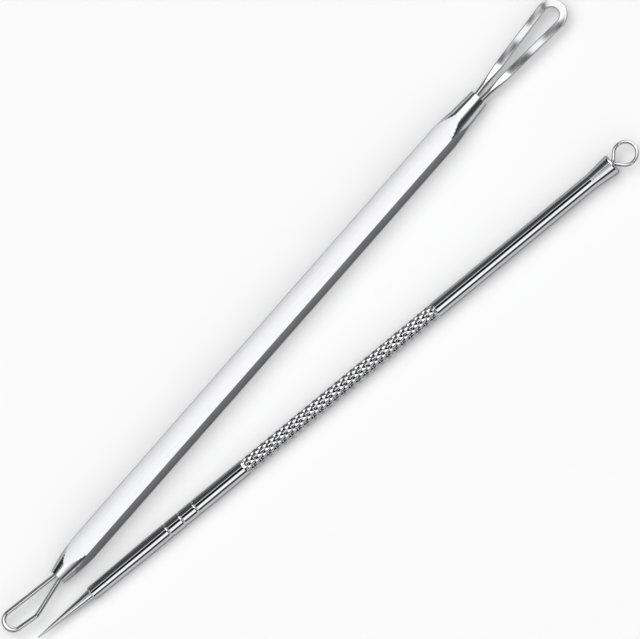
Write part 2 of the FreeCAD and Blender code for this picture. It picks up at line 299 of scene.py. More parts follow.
POLISHED_BAR = SteelFinish(
    "polished_bar_steel", "polished_bar", (0.60, 0.60, 0.61), rough=0.09, rough_swing=0.03,
    grain=Grain.LENGTHWISE, mark_size=0.12 * MM, mark_depth=0.0002 * MM, edge=0.02)
LOOP_WIRE = SteelFinish(
    "drawn_wire_steel", "loop_wire", (0.58, 0.58, 0.59), rough=0.08, rough_swing=0.02,
    grain=Grain.DRAWN, mark_size=0.1 * MM, mark_depth=0.0004 * MM, edge=0.1)
PRESSED_RIBBON = SteelFinish(
    "pressed_ribbon_steel", "loop_wire", (0.58, 0.58, 0.59), rough=0.1, rough_swing=0.02,
    grain=Grain.DRAWN, mark_size=0.2 * MM, mark_depth=0.0001 * MM, edge=0.1)
# The turned rod's steel paints shade into the recesses of its knurl.
TURNED_ROD = SteelFinish(
    "turned_rod_steel", "turned_rod", (0.54, 0.54, 0.55), rough=0.06, rough_swing=0.02,
    grain=Grain.TURNED, mark_size=0.1 * MM, mark_depth=0.00015 * MM, edge=0.1, recess_shade=0.12)
NEEDLE_STEEL = SteelFinish(
    "ground_needle_steel", "needle_steel", (0.55, 0.55, 0.56), rough=0.04, rough_swing=0.01,
    grain=Grain.TURNED, mark_size=0.08 * MM, mark_depth=0.00002 * MM, edge=0.1)
SOLDER = SteelFinish(
    "silver_solder", "solder", (0.48, 0.48, 0.48), rough=0.32, rough_swing=0.08,
    grain=Grain.CLOUDED, mark_size=0.25 * MM, mark_depth=0.004 * MM)


def eased_profile(corners: Sequence[Corner], steps: int = 5) -> Array:
    """Outline of a turned piece, with each corner rounded by an arc.

    An arc of radius r at a corner that turns by t touches both runs r * tan(t / 2) from the corner. Its
    points go round the centre, which lies r / cos(t / 2) from the corner on the bisector. Straight runs
    are divided at their own spacing, with a point near each end that keeps the shading of the corners
    from spreading.

    Args:
        corners: the corners in order from one end to the other.
        steps: points on each arc.

    Returns:
        Places along and out from the axis, one row each.
    """
    places = np.array([(corner.along, corner.out) for corner in corners])
    runs = np.diff(places, axis=0)
    ways = runs / np.linalg.norm(runs, axis=1, keepdims=True)
    pieces = [places[:1]]
    for k, corner in enumerate(corners[1:-1], start=1):
        before, after = ways[k - 1], ways[k]
        turn = math.acos(float(np.clip(before @ after, -1.0, 1.0)))
        if corner.ease and turn:
            reach = corner.ease * math.tan(turn / 2)
            bisector = (after - before) / np.linalg.norm(after - before)
            centre = places[k] + bisector * corner.ease / math.cos(turn / 2)
            first = places[k] - before * reach - centre
            last = places[k] + after * reach - centre
            share = np.linspace(0.0, 1.0, steps)[:, None]
            swung = np.sin((1 - share) * turn) * first + np.sin(share * turn) * last
            arc = centre + swung / math.sin(turn)
        else:
            arc = places[k:k + 1]
        pieces += [divided(pieces[-1][-1], arc[0], corners[k - 1].step), arc]
    pieces += [divided(pieces[-1][-1], places[-1], corners[-2].step), places[-1:]]
    return np.concatenate(pieces)


def divided(start: Array, end: Array, step: float, margin: float = NEAR) -> Array:
    """Points between two ends of a straight run, without the ends.

    Args:
        start: one end.
        end: the other.
        step: about how far apart the points are.
        margin: how far a further point lies from each end, where the run has room for it.

    Returns:
        The points in order.
    """
    length = float(np.linalg.norm(end - start))
    share = np.linspace(0.0, 1.0, max(1, math.ceil(length / step)) + 1)[1:-1]
    if length > 4 * margin:
        share = np.union1d(share, (margin / length, 1.0 - margin / length))
    return start + share[:, None] * (end - start)


def bent_line(bends: Sequence[Bend], step: float,
              turn_step: float = math.radians(4.0)) -> tuple[Array, Array]:
    """Middle line of a bent wire: straight runs that touch the arcs at their stops.

    The heading of a run from one stop to the next is the bearing between their centres, less the arc
    sine of the change in bow over the distance. On an arc the point is its centre less the bow times
    the unit vector to the left of the heading.

    Args:
        bends: the stops in order.
        step: spacing of points on straight runs.
        turn_step: largest angle between points on an arc.

    Returns:
        Points of the line in its plane, and the heading at each.
    """
    centres = np.array([(bend.along, bend.across) for bend in bends])
    bows = np.array([bend.bow for bend in bends])
    runs = np.diff(centres, axis=0)
    headings = np.arctan2(runs[:, 1], runs[:, 0]) - np.arcsin(np.diff(bows) / np.hypot(*runs.T))
    points: list[Array] = []
    angles: list[Array] = []
    for k, heading in enumerate(headings):
        left = np.array((-math.sin(heading), math.cos(heading)))
        start = centres[k] - left * bows[k]
        end = centres[k + 1] - left * bows[k + 1]
        straight = np.concatenate([start[None], divided(start, end, step), end[None]])
        points.append(straight)
        angles.append(np.full(len(straight), heading))
        if k + 1 < len(headings) and bows[k + 1]:
            way = math.copysign(1.0, bows[k + 1])
            sweep = way * ((way * (headings[k + 1] - heading)) % (2 * math.pi))
            count = max(2, math.ceil(abs(sweep) / turn_step))
            arc = heading + np.linspace(0.0, sweep, count + 1)[1:-1]
            side = np.stack([-np.sin(arc), np.cos(arc)], axis=1)
            points.append(centres[k + 1] - bows[k + 1] * side)
            angles.append(arc)
    return np.concatenate(points), np.concatenate(angles)


def run_length(points: Array) -> Array:
    """Distance travelled along a line at each of its points."""
    return np.concatenate([[0.0], np.cumsum(np.linalg.norm(np.diff(points, axis=0), axis=1))])


def smooth_step(value: Array, start: float, end: float) -> Array:
    """Share that rises from 0 at start to 1 at end, level at both."""
    share = np.clip((value - start) / (end - start), 0.0, 1.0)
    return share * share * (3.0 - 2.0 * share)


def lesser(first: Array, second: Array, blend: float) -> Array:
    """The smaller of a and b, eased where they cross: -blend * log(exp(-a / blend) + exp(-b / blend))."""
    return np.minimum(first, second) - blend * np.log1p(np.exp(-np.abs(first - second) / blend))


def ring_angles(columns: int) -> Array:
    """Evenly spaced angles once round, without the last."""
    return np.linspace(0.0, 2 * math.pi, columns, endpoint=False)


def turned_rings(profile: Array, columns: int) -> Array:
    """Rings of a turned piece: each profile point carried round the local X axis.

    Args:
        profile: places along and out from the axis.
        columns: points round each ring.

    Returns:
        Points of each ring.
    """
    angle = ring_angles(columns)
    along = np.broadcast_to(profile[:, :1], (len(profile), columns))
    return np.stack([along, profile[:, 1:] * np.cos(angle), profile[:, 1:] * np.sin(angle)], axis=-1)


def wire_rings(points: Array, headings: Array, across: Array, up: Array) -> Array:
    """Rings of a bent wire: a section carried along its middle line.

    Args:
        points: middle line, in the local XY plane.
        headings: heading at each point.
        across: offsets of each ring's points to the left of the heading.
        up: offsets of each ring's points along the local Z axis.

    Returns:
        Points of each ring.
    """
    x = points[:, :1] - across * np.sin(headings)[:, None]
    y = points[:, 1:] + across * np.cos(headings)[:, None]
    return np.stack([x, y, np.broadcast_to(up, x.shape)], axis=-1)


def wire_lay(travel: Array, across: Array, up: Array) -> Array:
    """Place of each ring point on its wire: length along it, and offsets across and up from there."""
    return np.stack(np.broadcast_arrays(travel[:, None], across, up), axis=-1)


def skin(name: str, rings: Array, folded: Array | None = None) -> Thing:
    """Make a closed mesh from rings of points.

    Ring i and ring i + 1 are joined by quads, and each end ring is closed by a fan to its middle. Where
    `folded` is given, quads are cut in two, along the diagonal from (i, j) where it is true. If the
    signed volume, a sixth of the sum of a . (b x c) over triangles a, b, c, is negative, every face is
    turned round, so that faces point outwards.

    Args:
        name: the object's name.
        rings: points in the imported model's frame, by ring and column.
        folded: which diagonal cuts each quad, by ring and column.

    Returns:
        The object, with smooth shading.
    """
    rows, columns = rings.shape[:2]
    points = np.concatenate([rings.reshape(-1, 3), rings[[0, -1]].mean(axis=1)])
    corner = np.arange(rows * columns).reshape(rows, columns)
    beside = np.roll(corner, -1, axis=1)
    here, right = corner[:-1].ravel(), beside[:-1].ravel()
    below, far = corner[1:].ravel(), beside[1:].ravel()
    first_cut = np.stack([here, right, far, here, far, below], axis=1).reshape(-1, 3)
    middle = np.full(columns, rows * columns)
    fans = np.concatenate([np.stack([middle, beside[0], corner[0]], axis=1),
                           np.stack([middle + 1, corner[-1], beside[-1]], axis=1)])
    tall = points[np.concatenate([first_cut, fans])]
    volume = np.einsum("ni,ni->n", tall[:, 0], np.cross(tall[:, 1], tall[:, 2])).sum() / 6
    if folded is None:
        sides = [np.stack([here, right, far, below], axis=1), fans]
    else:
        other_cut = np.stack([here, right, below, right, far, below], axis=1).reshape(-1, 3)
        pick = np.repeat(folded.ravel(), 2)[:, None]
        sides = [np.where(pick, first_cut, other_cut), fans]
    if volume < 0:
        sides = [faces[:, ::-1] for faces in sides]
    mesh = bpy.data.meshes.new(name)
    mesh.from_pydata(points.tolist(), [], [face for faces in sides for face in faces.tolist()])
    mesh.polygons.foreach_set("use_smooth", np.ones(len(mesh.polygons), dtype=bool))
    mesh.validate()
    thing = bpy.data.objects.new(name, mesh)
    bpy.context.scene.collection.objects.link(thing)
    return thing


def add_attribute(thing: Thing, name: str, values: Array) -> None:
    """Store values on a skin's points for its finish to read, with each end ring's mean at its middle.

    Args:
        thing: an object made by skin.
        name: the attribute's name.
        values: a number or a vector for each ring point.
    """
    whole = np.concatenate([values.reshape(-1, *values.shape[2:]), values[[0, -1]].mean(axis=1)])
    kind, field = ("FLOAT_VECTOR", "vector") if values.ndim == 3 else ("FLOAT", "value")
    attribute = thing.data.attributes.new(name, kind, "POINT")
    attribute.data.foreach_set(field, whole.astype(np.float32).ravel())


def crease(thing: Thing, second: Array, first_normals: Array, second_normals: Array) -> None:
    """Give a skin crisp shading where two surfaces meet: each quad takes the normals of one of them.

    Args:
        thing: an object made by skin without folds.
        second: whether each quad belongs to the second surface, by ring and column.
        first_normals: the first surface's normal at each ring point.
        second_normals: the second surface's.
    """
    mesh = thing.data
    corners = np.empty(len(mesh.loops), dtype=np.int32)
    mesh.loops.foreach_get("vertex_index", corners)
    corners = corners[:4 * second.size]
    pick = np.repeat(second.ravel(), 4)[:, None]
    normals = np.zeros((len(mesh.loops), 3))
    normals[:len(corners)] = np.where(pick, second_normals.reshape(-1, 3)[corners],
                                      first_normals.reshape(-1, 3)[corners])
    mesh.normals_split_custom_set(normals.tolist())


def line_normals(line: Array) -> Array:
    """Normals of a flat line at its points, midway between those of the runs that meet there.

    Args:
        line: points in the plane.

    Returns:
        Unit vectors to the left of the line.
    """
    runs = np.diff(line, axis=0)
    runs /= np.linalg.norm(runs, axis=1, keepdims=True)
    middle = np.concatenate([runs[:1], runs]) + np.concatenate([runs, runs[-1:]])
    middle /= np.linalg.norm(middle, axis=1, keepdims=True)
    return np.stack([-middle[:, 1], middle[:, 0]], axis=1)


def round_wire(name: str, line: tuple[Array, Array], wire: float, stand: Stand) -> Thing:
    """Bent wire of round section, with the lay of its drawn marks.

    Args:
        name: the object's name.
        line: points and headings of its middle line.
        wire: its diameter.
        stand: the frame that the line lies in.

    Returns:
        The object.
    """
    points, headings = line
    angle = ring_angles(WIRE_COLUMNS)[None, :]
    across, up = wire / 2 * np.cos(angle), wire / 2 * np.sin(angle)
    thing = skin(name, stand.to_frame(wire_rings(points, headings, across, up)))
    add_attribute(thing, "lay", wire_lay(run_length(points), across, up))
    return thing


def dress(thing: Thing, finish: SteelFinish, stand: Stand) -> None:
    """Give an object its finish, in place of any it had."""
    thing.data.materials.clear()
    thing.data.materials.append(finish.material(stand))


def place_piece(thing: Thing, node: str, body: str, finish: SteelFinish, stand: Stand) -> None:
    """Let a new piece stand for a CAD node, ride on its body and take its finish.

    Args:
        thing: the new piece.
        node: the node that it replaces.
        body: the body that it moves with.
        finish: its steel.
        stand: the frame that the finish follows.
    """
    dress(thing, finish, stand)
    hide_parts(node)
    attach(thing, body)
    log.info("%s: %d faces", thing.name, len(thing.data.polygons))


@dataclass
class LoopTool:
    """Square bar with a wire loop in each end.

    The bar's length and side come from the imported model. The rest are the sizes of the turned ends, of
    the loops and of the sockets that hold them. `press_start` is the height at which the ribbon's flat
    begins, as a share of the wire's, and `twist` is in degrees.
    """

    edge: float = 0.06 * MM
    crown: float = 0.048 * MM
    face_points: int = 17
    edge_points: int = 8
    end_ease: float = 0.08 * MM
    bore_ease: float = 0.04 * MM
    neck_ease: float = 0.6 * MM
    small_end: float = 2.49 * MM
    small_taper: float = 5.4 * MM
    large_end: float = 2.79 * MM
    large_neck: float = 3.38 * MM
    large_neck_length: float = 4.3 * MM
    large_taper: float = 3.15 * MM
    socket_depth: float = 5.0 * MM
    clearance: float = 0.03 * MM
    large_reach: float = 18.0 * MM
    large_eye: float = 2.36 * MM
    large_wire: float = 0.85 * MM
    large_spacing: float = 1.1 * MM
    large_bend: float = 2.0 * MM
    round_length: float = 1.2 * MM
    press_length: float = 4.4 * MM
    press_start: float = 1.02
    press_ease: float = 0.008 * MM
    ribbon_width: float = 1.2 * MM
    ribbon_thickness: float = 0.48 * MM
    ribbon_columns: int = 48
    ribbon_step: float = 0.1 * MM
    twist: float = 3.0
    twist_length: float = 7.0 * MM
    twist_start: float = 7.5 * MM
    small_reach: float = 10.6 * MM
    small_eye: float = 2.22 * MM
    small_eye_offset: float = 0.69 * MM
    small_wire: float = 0.68 * MM
    small_spacing: float = 0.95 * MM
    small_bend: float = 1.2 * MM
    hump_reach: float = 6.0 * MM
    hump_offset: float = 1.45 * MM
    hump_radius: float = 1.5 * MM

    def __post_init__(self) -> None:
        """Take the bar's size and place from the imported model."""
        low, high = (np.array(corner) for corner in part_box("handle_bar"))
        self.length = float(high[0] - low[0])
        self.side = float(high[2] - low[2])
        middle = (low + high) / 2
        self.bar_stand = Stand(middle, np.eye(3))
        self.large_stand = self.bar_stand.shifted(self.length / 2)
        self.small_stand = Stand(middle - self.length / 2 * np.eye(3)[0], np.diag([-1.0, -1.0, 1.0]))

    def section(self) -> tuple[Array, Array]:
        """Square section with rounded edges, whose faces are polished off towards one edge.

        On the top face z is half the side, less crown * t ** 2, where t goes from 0 at one edge to 1 at
        the other. A quarter of an ellipse rounds the edge at t = 0 and leads to the next face, which is
        the same curve turned a quarter round.

        Returns:
            Points round the bar's axis and the unit normals there, as places across and up.
        """
        half = self.side / 2
        flat = half - self.edge
        t = np.linspace(1.0, 0.0, self.face_points)
        arc = np.linspace(0.0, math.pi / 2, self.edge_points)[1:-1]
        y = np.concatenate([(2 * t - 1) * flat, -flat - (self.edge - self.crown) * np.sin(arc)])
        z = np.concatenate([half - self.crown * t ** 2, flat + self.edge * np.cos(arc)])
        slope = np.concatenate([np.arctan(self.crown * t / flat), -arc])
        curve = np.stack([y, z], axis=1)
        curve_normals = np.stack([np.sin(slope), np.cos(slope)], axis=1)
        quarter = np.array([(0.0, 1.0), (-1.0, 0.0)])
        turns = [np.linalg.matrix_power(quarter, k) for k in range(4)]
        points = np.concatenate([curve @ turn for turn in turns])
        normals = np.concatenate([curve_normals @ turn for turn in turns])
        return points, normals

    def bar_profile(self) -> Array:
        """Turned profile of the bar, which runs on past the square's corners where the bar isn't turned.

        Returns:
            Places along and out from the axis, from the bottom of one socket to the bottom of the other.
        """
        half = self.length / 2
        beyond = self.side
        small_bore = (self.small_spacing + self.small_wire) / 2 + self.clearance
        large_bore = (self.large_spacing + self.large_wire) / 2 + self.clearance
        corner_out = (self.side / 2 - self.edge) * math.sqrt(2) + self.edge
        small_slope = (beyond - self.small_end / 2) / (corner_out - self.small_end / 2)
        large_slope = (beyond - self.large_neck / 2) / (corner_out - self.large_neck / 2)
        return eased_profile([
            Corner(-half + self.socket_depth, small_bore),
            Corner(-half, small_bore, self.bore_ease),
            Corner(-half, self.small_end / 2, self.end_ease, FINE),
            Corner(-half + self.small_taper * small_slope, beyond),
            Corner(half - self.large_neck_length - self.large_taper * large_slope, beyond, 0.0, FINE),
            Corner(half - self.large_neck_length, self.large_neck / 2, self.neck_ease, FINE),
            Corner(half, self.large_end / 2, self.end_ease),
            Corner(half, large_bore, self.bore_ease),
            Corner(half - self.socket_depth, large_bore),
        ])

    def make_bar(self) -> None:
        """Square bar whose ends are turned.

        In each direction the radius is the lesser of the square's and the turned profile's. A quad is
        turned where the profile lies inside the square on the mean of its corners, and the shading
        changes there without a blend.
        """
        points, normals = self.section()
        profile = self.bar_profile()
        square = np.hypot(*points.T)
        round_about = points / square[:, None]
        radius = np.minimum(square, profile[:, 1:])[..., None]
        along = np.broadcast_to(profile[:, None, :1], radius.shape)
        rings = np.concatenate([along, radius * round_about], axis=-1)
        bar = skin("square_bar", self.bar_stand.to_frame(rings))
        inside = square - profile[:, 1:]
        beside = np.roll(inside, -1, axis=1)
        turned = inside[:-1] + inside[1:] + beside[:-1] + beside[1:] > 0.0
        lathe = line_normals(profile)[:, None, :]
        flat_normals = np.zeros(rings.shape)
        flat_normals[..., 1:] = normals
        turned_normals = np.concatenate([np.broadcast_to(lathe[..., :1], radius.shape),
                                         lathe[..., 1:] * round_about], axis=-1)
        crease(bar, turned, flat_normals, turned_normals)
        place_piece(bar, "handle_bar", "loop_tool", POLISHED_BAR, self.bar_stand)

    def make_large_loop(self) -> None:
        """Round wire pressed into a ribbon.

        The section is an ellipse, cut off above and below at the pressed thickness, so that the flat
        starts as a tongue on the round wire. The pressing leaves a slow twist, which comes and goes as
        half of one plus the cosine of the length along the ribbon. It leans to the front on both legs, so
        it turns over with the cosine of the heading.
        """
        eye = (self.large_eye + self.ribbon_width) / 2
        bend_off = self.large_spacing / 2 + self.large_bend
        points, headings = bent_line([
            Bend(-self.socket_depth, self.large_spacing / 2),
            Bend(0.0, bend_off, self.large_bend),
            Bend(self.large_reach - self.ribbon_width / 2 - eye, 0.0, -eye),
            Bend(0.0, -bend_off, self.large_bend),
            Bend(-self.socket_depth, -self.large_spacing / 2),
        ], self.ribbon_step)
        travel = run_length(points)
        from_end = np.minimum(travel, travel[-1] - travel)
        flat_from = self.socket_depth + self.round_length
        pressed = smooth_step(from_end, flat_from, flat_from + self.press_length)
        half_wire = self.large_wire / 2
        half_width = half_wire + (self.ribbon_width / 2 - half_wire) * pressed
        start_height = half_wire * self.press_start
        half_height = start_height + (self.ribbon_thickness / 2 - start_height) * pressed
        angle = ring_angles(self.ribbon_columns)
        across = half_width[:, None] * np.cos(angle)
        up = lesser(half_wire * np.abs(np.sin(angle))[None, :], half_height[:, None], self.press_ease)
        up = np.sign(np.sin(angle)) * np.maximum(up, 0.0)
        phase = 2 * math.pi * (from_end - self.socket_depth - self.twist_start) / self.twist_length
        twist = math.radians(self.twist) * (1.0 + np.cos(phase)) / 2 * pressed * np.cos(headings)
        rings = wire_rings(points, headings, across, up + across * np.tan(twist)[:, None])
        loop = skin("large_ribbon_loop", self.large_stand.to_frame(rings))
        add_attribute(loop, "lay", wire_lay(travel, across, up))
        place_piece(loop, "large_loop", "loop_tool", PRESSED_RIBBON, self.large_stand)

    def make_small_loop(self) -> None:
        """Round wire bent into an eye that leans to one side, with a hump in one leg."""
        eye = (self.small_eye + self.small_wire) / 2
        bend_off = self.small_spacing / 2 + self.small_bend
        line = bent_line([
            Bend(-self.socket_depth, self.small_spacing / 2),
            Bend(0.0, bend_off, self.small_bend),
            Bend(self.hump_reach, self.hump_offset - self.hump_radius, -self.hump_radius),
            Bend(self.small_reach - self.small_wire / 2 - eye, -self.small_eye_offset, -eye),
            Bend(0.0, -bend_off, self.small_bend),
            Bend(-self.socket_depth, -self.small_spacing / 2),
        ], WIRE_STEP)
        loop = round_wire("small_wire_loop", line, self.small_wire, self.small_stand)
        place_piece(loop, "small_loop", "loop_tool", LOOP_WIRE, self.small_stand)

    def build(self) -> None:
        """Make every piece of the tool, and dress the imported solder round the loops' legs."""
        self.make_bar()
        self.make_large_loop()
        self.make_small_loop()
        dress(frame["nodes"]["large_loop_solder"], SOLDER, self.large_stand)
        dress(frame["nodes"]["small_loop_solder"], SOLDER, self.small_stand)


@dataclass
class NeedleTool:
    """Knurled rod with a needle in its nose and a ring at its flared end.

    Places along the rod are measured from the needle's point. The rod's axis comes from the mount on its
    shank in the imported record. `knurl_flank` and `knurl_eases` are shares of half the distance between two
    grooves, and `knurl_cells` is the number of rings in a pitch.
    """

    columns: int = 128
    needle_columns: int = 48
    needle_length: float = 9.85 * MM
    needle_base: float = 1.57 * MM
    needle_tip: float = 0.2 * MM
    needle_point: float = 0.01 * MM
    needle_step: float = 0.1 * MM
    needle_ease: float = 0.04 * MM
    tang: float = 1.1 * MM
    tang_length: float = 4.0 * MM
    tang_clearance: float = 0.01 * MM
    nose: float = 2.04 * MM
    nose_chamfer: float = 0.14 * MM
    nose_eases: tuple[float, float] = (0.03 * MM, 0.05 * MM)
    nose_length: float = 11.05 * MM
    rod: float = 2.36 * MM
    rod_ease: float = 0.8 * MM
    groove_setback: float = 3.3 * MM
    groove_pitch: float = 2.55 * MM
    groove_width: float = 0.34 * MM
    groove_floor: float = 0.085 * MM
    groove_depth: float = 0.09 * MM
    groove_ease: float = 0.04 * MM
    groove_count: int = 3
    knurl_setback: float = 8.9 * MM
    knurl_length: float = 35.7 * MM
    knurl_pitch: float = 1.38 * MM
    knurl_depth: float = 0.18 * MM
    knurl_flank: float = 0.94
    knurl_eases: tuple[float, float] = (0.02, 0.03)
    knurl_around: int = 8
    knurl_cells: int = 16
    knurl_fade: float = 0.5 * MM
    shank_length: float = 28.7 * MM
    flare_length: float = 4.0 * MM
    flare: float = 3.15 * MM
    flare_ease: float = 0.6 * MM
    rim: float = 0.3 * MM
    rim_setback: float = 0.1 * MM
    ring_reach: float = 4.2 * MM
    ring_eye: float = 2.9 * MM
    ring_wire: float = 0.53 * MM
    ring_spacing: float = 0.56 * MM
    ring_bend: float = 0.5 * MM
    socket_depth: float = 3.0 * MM
    clearance: float = 0.03 * MM

    def __post_init__(self) -> None:
        """Work out the places along the rod, and the tool's frame from the shank's mount."""
        self.rod_at = self.needle_length + self.nose_length
        self.grooves_at = self.rod_at + self.groove_setback
        self.knurl_at = self.grooves_at + (self.groove_count - 1) * self.groove_pitch + self.knurl_setback
        self.shank_at = self.knurl_at + self.knurl_length
        self.flare_at = self.shank_at + self.shank_length
        self.flare_end = self.flare_at + self.flare_length
        mount = next(m for m in frame["record"]["mounts"] if m["name"] == "rod_shank")
        axis = -np.array(mount["axis"])
        side = np.cross((0.0, 0.0, 1.0), axis)
        side /= np.linalg.norm(side)
        tip = np.array(mount["pos_m"]) - (self.shank_at + self.shank_length / 2) * axis
        self.stand = Stand(tip, np.stack([axis, side, np.cross(axis, side)]))

    def rod_profile(self) -> Array:
        """Turned profile of the rod.

        Returns:
            Places along and out from the axis, from the bottom of the needle's hole to the bottom of the
            ring's socket.
        """
        out = self.rod / 2
        bore = self.tang / 2 + self.tang_clearance
        socket = (self.ring_spacing + self.ring_wire) / 2 + self.clearance
        corners = [
            Corner(self.needle_length + self.tang_length, bore),
            Corner(self.needle_length, bore),
            Corner(self.needle_length, self.nose / 2 - self.nose_chamfer, self.nose_eases[0]),
            Corner(self.needle_length + self.nose_chamfer, self.nose / 2, self.nose_eases[1]),
            Corner(self.rod_at, out, self.rod_ease),
        ]
        for k in range(self.groove_count):
            middle = self.grooves_at + k * self.groove_pitch
            lip, floor = self.groove_width / 2, self.groove_floor / 2
            for reach, depth in ((-lip, 0.0), (-floor, self.groove_depth),
                                 (floor, self.groove_depth), (lip, 0.0)):
                corners.append(Corner(middle + reach, out - depth, self.groove_ease))
        corners += [
            Corner(self.knurl_at, out, 0.0, self.knurl_pitch / self.knurl_cells),
            Corner(self.shank_at, out),
            Corner(self.flare_at, out, self.flare_ease),
            Corner(self.flare_end - self.rim_setback, self.flare / 2, self.rim),
            Corner(self.flare_end, self.flare / 2 - self.rim, self.rim),
            Corner(self.flare_end, socket, self.clearance),
            Corner(self.flare_end - self.socket_depth, socket),
        ]
        return eased_profile(corners)

    def knurl_recess(self, along: Array, angle: Array) -> Array:
        """Depth of the crossed grooves, as a share of the full depth.

        Two families of grooves wind round the rod at opposite hands: their phases are the pitches along
        the rod plus and minus the points round it. A phase's distance from the nearest groove is 0 in the
        groove and 1 half-way to the next. The surface rises with the lesser of the two, and is level with
        the rod once that is past the flank's share, which leaves the tops of the points blunt.

        Args:
            along: places along the rod.
            angle: angles round it.

        Returns:
            The depth at each place and angle, which fades out at both ends of the grip.
        """
        pitches = (along - self.knurl_at) / self.knurl_pitch
        points = angle * self.knurl_around / (2 * math.pi)
        right = 1.0 - np.abs(2.0 * np.mod(pitches + points, 1.0) - 1.0)
        left = 1.0 - np.abs(2.0 * np.mod(pitches - points, 1.0) - 1.0)
        valley_ease, top_ease = self.knurl_eases
        height = lesser(lesser(right, left, valley_ease) / self.knurl_flank, 1.0, top_ease)
        inside = smooth_step(along, self.knurl_at, self.knurl_at + self.knurl_fade)
        inside = inside * smooth_step(-along, -self.shank_at, self.knurl_fade - self.shank_at)
        return (1.0 - np.clip(height, 0.0, 1.0)) * inside

    def make_rod(self) -> None:
        """Turned rod with its grip knurled: each ring point drops by its recess towards the axis.

        A quad is cut along the diagonal whose mean recess is nearer to the recess at its middle.
        """
        profile = self.rod_profile()
        rings = turned_rings(profile, self.columns)
        along = profile[:, :1]
        angle = ring_angles(self.columns)[None, :]
        recess = self.knurl_recess(along, angle)
        rings[..., 1:] *= (1.0 - self.knurl_depth * recess / profile[:, 1:])[..., None]
        half_column = math.pi / self.columns
        middle = self.knurl_recess((along[:-1] + along[1:]) / 2, angle + half_column)
        beside = np.roll(recess, -1, axis=1)
        first_diagonal = (recess[:-1] + beside[1:]) / 2
        other_diagonal = (beside[:-1] + recess[1:]) / 2
        folded = np.abs(first_diagonal - middle) <= np.abs(other_diagonal - middle)
        rod = skin("knurled_rod", self.stand.to_frame(rings), folded)
        # The squared recess sets the painted shade that darkens the knurl's grooves.
        add_attribute(rod, "recess", recess ** 2)
        place_piece(rod, "knurled_handle", "needle_tool", TURNED_ROD, self.stand)

    def make_needle(self) -> None:
        """Slim cone with a rounded point, seated in the rod's nose by its tang."""
        tip = self.needle_tip / 2
        profile = eased_profile([
            Corner(0.0, self.needle_point / 2),
            Corner(0.0, tip, tip, self.needle_step),
            Corner(self.needle_length, self.needle_base / 2, self.needle_ease),
            Corner(self.needle_length, self.tang / 2),
            Corner(self.needle_length + self.tang_length, self.tang / 2),
        ])
        needle = skin("needle_cone", self.stand.to_frame(turned_rings(profile, self.needle_columns)))
        place_piece(needle, "needle", "needle_tool", NEEDLE_STEEL, self.stand)

    def make_ring(self) -> None:
        """Round wire bent into a ring, with both legs in the flared end."""
        eye = (self.ring_eye + self.ring_wire) / 2
        bend_off = self.ring_spacing / 2 + self.ring_bend
        legs_at = self.flare_end - self.socket_depth
        line = bent_line([
            Bend(legs_at, self.ring_spacing / 2),
            Bend(self.flare_end, bend_off, self.ring_bend),
            Bend(self.flare_end + self.ring_reach - self.ring_wire / 2 - eye, 0.0, -eye),
            Bend(self.flare_end, -bend_off, self.ring_bend),
            Bend(legs_at, -self.ring_spacing / 2),
        ], WIRE_STEP)
        ring = round_wire("hanging_wire_ring", line, self.ring_wire, self.stand)
        place_piece(ring, "ring_loop", "needle_tool", LOOP_WIRE, self.stand)

    def build(self) -> None:
        """Make every piece of the tool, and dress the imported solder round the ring's legs."""
        self.make_rod()
        self.make_needle()
        self.make_ring()
        dress(frame["nodes"]["ring_solder"], SOLDER, self.stand)


@dataclass(frozen=True)
class Glow:
    """A stop of the studio's light: degrees from overhead towards -Y, and the brightness there."""

    lean: float
    level: float


